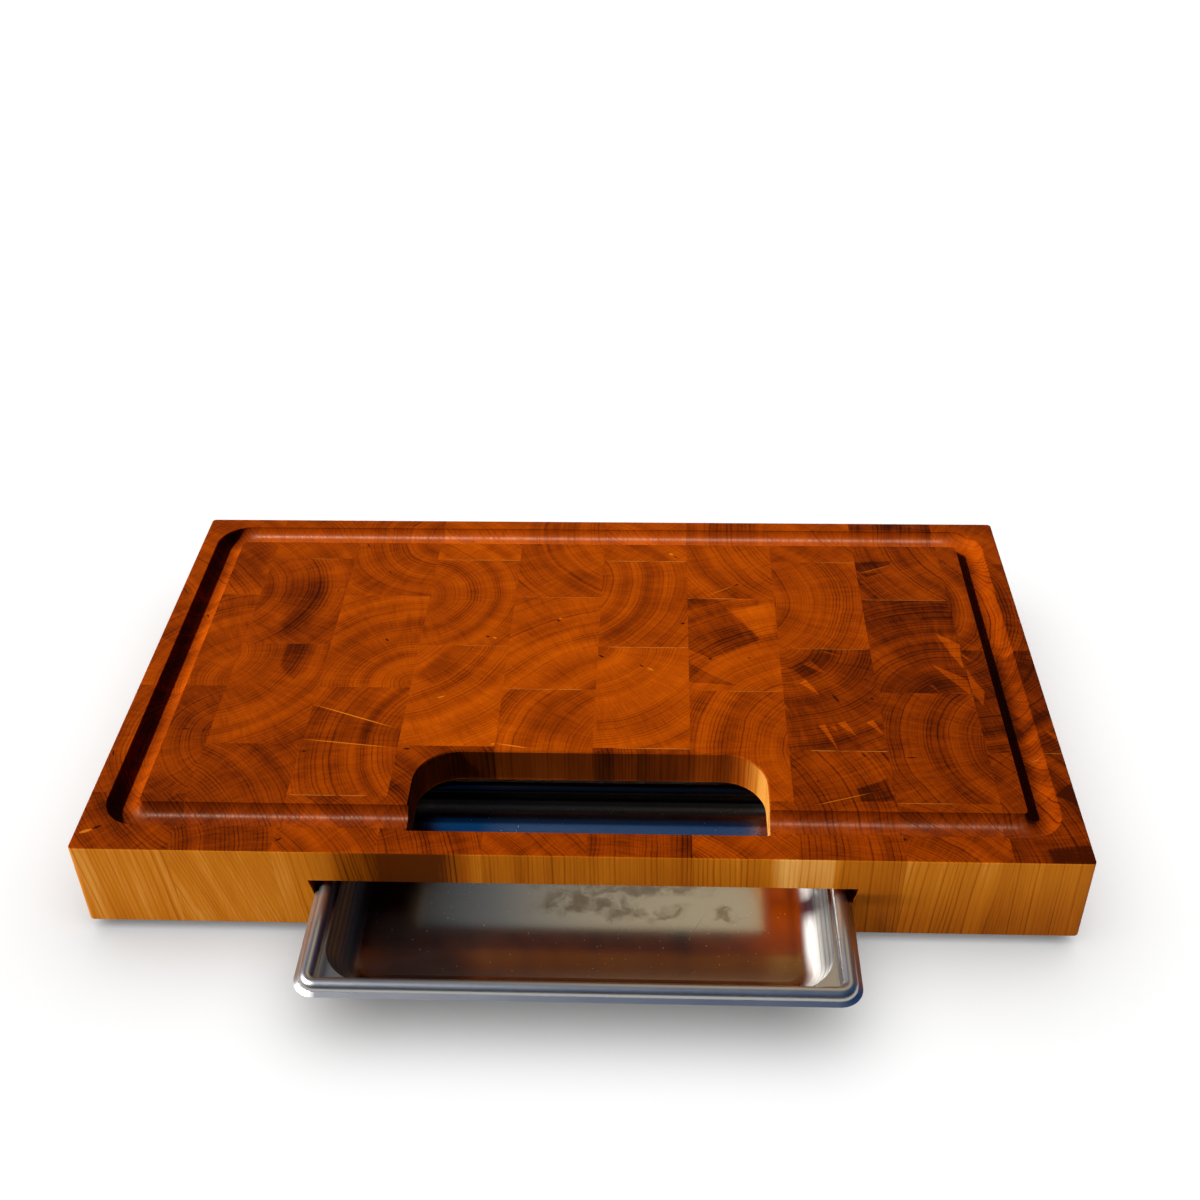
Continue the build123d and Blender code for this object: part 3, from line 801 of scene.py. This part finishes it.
# What the steel mirrors: a deep blue sky, darkness low in front, and a bright wall behind that turns blue and
# then dark towards its left
SKY = (0.008, 0.072, 0.230, 1.0)
LOW_FRONT = (0.012, 0.012, 0.014, 1.0)
WALL_SIDE = Vector((0.05, 0.72, 0.69))
WALL_COLOUR = (0.86, 0.70, 0.45, 1.0)
WALL_LEFT_COLOUR = (0.08, 0.18, 0.32, 1.0)
# Where each gives way to the next, as parts of the way that is looked: the dark front's back and top edges, the
# wall's rim, and the edges of its blue and its dark
FRONT_EDGE, FRONT_TOP, WALL_EDGE = (0.10, -0.25), (0.72, 0.50), (0.86, 0.97)
BLUE_EDGE, DARK_EDGE = (-0.04, -0.105), (-0.095, -0.138)
ROOM_LIGHT = 0.05

WARM, NEUTRAL = (1.0, 0.96, 0.90), (1.0, 1.0, 1.0)
SUN_SIDE = (-0.741, -0.050, 0.669)
STEEL_SUN_SIDE = (-0.700, -0.050, 0.710)
FRONT_SIDE, RIGHT_SIDE, BACK_SIDE = (-0.25, -0.97), (1.0, 0.1), (0.1, 1.0)
UP, DOWN = (0.0, 0.0, 1.0), (0.0, 0.0, -1.0)
# The suns' strength and the width of their discs in degrees
WOOD_SUN, STEEL_SUN, FLOOR_DAYLIGHT = (4.75, 2.0), (8.0, 20.0), (9.4, 110.0)
# The strips' distance and length in metres, and their watts
FRONT_STRIP, SIDE_STRIP = (1.3, 0.6, 5.2), (2.8, 1.2, 26.0)
# The light off the tray's right wall: where it is, its width and depth in metres, and its watts
BOUNCE_PLACE = (0.130, -0.105, 0.022)
BOUNCE = (0.02, 0.06, 0.02)
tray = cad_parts["steel_tray"]

# Hard sun from the left on the wood, and a softer one on the steel, whose glare it spreads
wood_lamps = [
    sun("wood_sun", SUN_SIDE, *WOOD_SUN, WARM),
    face_strip("front_strip", FRONT_SIDE, *FRONT_STRIP, WARM),
    face_strip("right_strip", RIGHT_SIDE, *SIDE_STRIP, NEUTRAL),
    face_strip("back_strip", BACK_SIDE, *SIDE_STRIP, NEUTRAL),
]
for lamp in wood_lamps:
    light_only(lamp, [floor, tray], "EXCLUDE")
light_only(sun("steel_sun", STEEL_SUN_SIDE, *STEEL_SUN, WARM), [tray])
# Sunlight that the tray's right wall throws up onto the wood above it
bounce = panel(place_lamp("tray_bounce", "AREA", DOWN, 0.0), *BOUNCE, WARM)
bounce.location = BOUNCE_PLACE
light_only(bounce, [floor, tray], "EXCLUDE")
# Daylight from all over the sky gives the floor its soft shadow
light_only(sun("floor_daylight", UP, *FLOOR_DAYLIGHT, NEUTRAL), [floor])


def studio():
    """A dim room for the wood, the surroundings that the steel mirrors, and white behind it all."""
    world = bpy.data.worlds.new("studio")
    bpy.context.scene.world = world
    world.use_nodes = True
    sky = Recipe(world.node_tree)
    way = sky.add("TexCoord").outputs["Generated"]
    right, back, up = sky.parts(way)
    colour = sky.mix(back.step(*FRONT_EDGE) * up.step(*FRONT_TOP), SKY, LOW_FRONT)
    wall = sky.mix(right.step(*BLUE_EDGE), WALL_COLOUR, WALL_LEFT_COLOUR)
    wall = sky.mix(right.step(*DARK_EDGE), wall, LOW_FRONT)
    colour = sky.mix(sky.dot(way, WALL_SIDE.normalized()).step(*WALL_EDGE), colour, wall)
    path = sky.add("LightPath").outputs
    mirrored = Field(sky, path["Is Glossy Ray"]) * Field(sky, path["Diffuse Depth"]).step(0.6, 0.4)
    seen = Field(sky, path["Is Camera Ray"]).at_least(path["Is Transmission Ray"])
    shown = world.node_tree.nodes["Background"].inputs
    sky.tree.links.new(sky.mix(seen, colour, (1.0, 1.0, 1.0, 1.0)), shown["Color"])
    sky.tree.links.new((mirrored * (1.0 - ROOM_LIGHT) + ROOM_LIGHT).at_least(seen).socket, shown["Strength"])


studio()


# Camera, fitted to the photograph's board corners

CAMERA_PLACE = (0.0470, -0.7432, 0.7111)
CAMERA_RIGHT = Vector((0.99921, 0.03623, -0.01618))
CAMERA_FORWARD = Vector((-0.03872, 0.80094, -0.59749))
PHOTO_SIDE = 1200
FOCAL_PIXELS = 1470.0

lens = bpy.data.cameras.new("camera")
lens.sensor_width = 36.0
lens.lens = lens.sensor_width * FOCAL_PIXELS / PHOTO_SIDE
lens.clip_start, lens.clip_end = 0.01, 50.0
camera = bpy.data.objects.new("camera", lens)
axes = Matrix((CAMERA_RIGHT, CAMERA_RIGHT.cross(CAMERA_FORWARD), -CAMERA_FORWARD)).transposed()
camera.matrix_world = Matrix.Translation(CAMERA_PLACE) @ axes.to_4x4()
bpy.context.scene.collection.objects.link(camera)
bpy.context.scene.camera = camera

bpy.context.scene.view_settings.view_transform = "Standard"
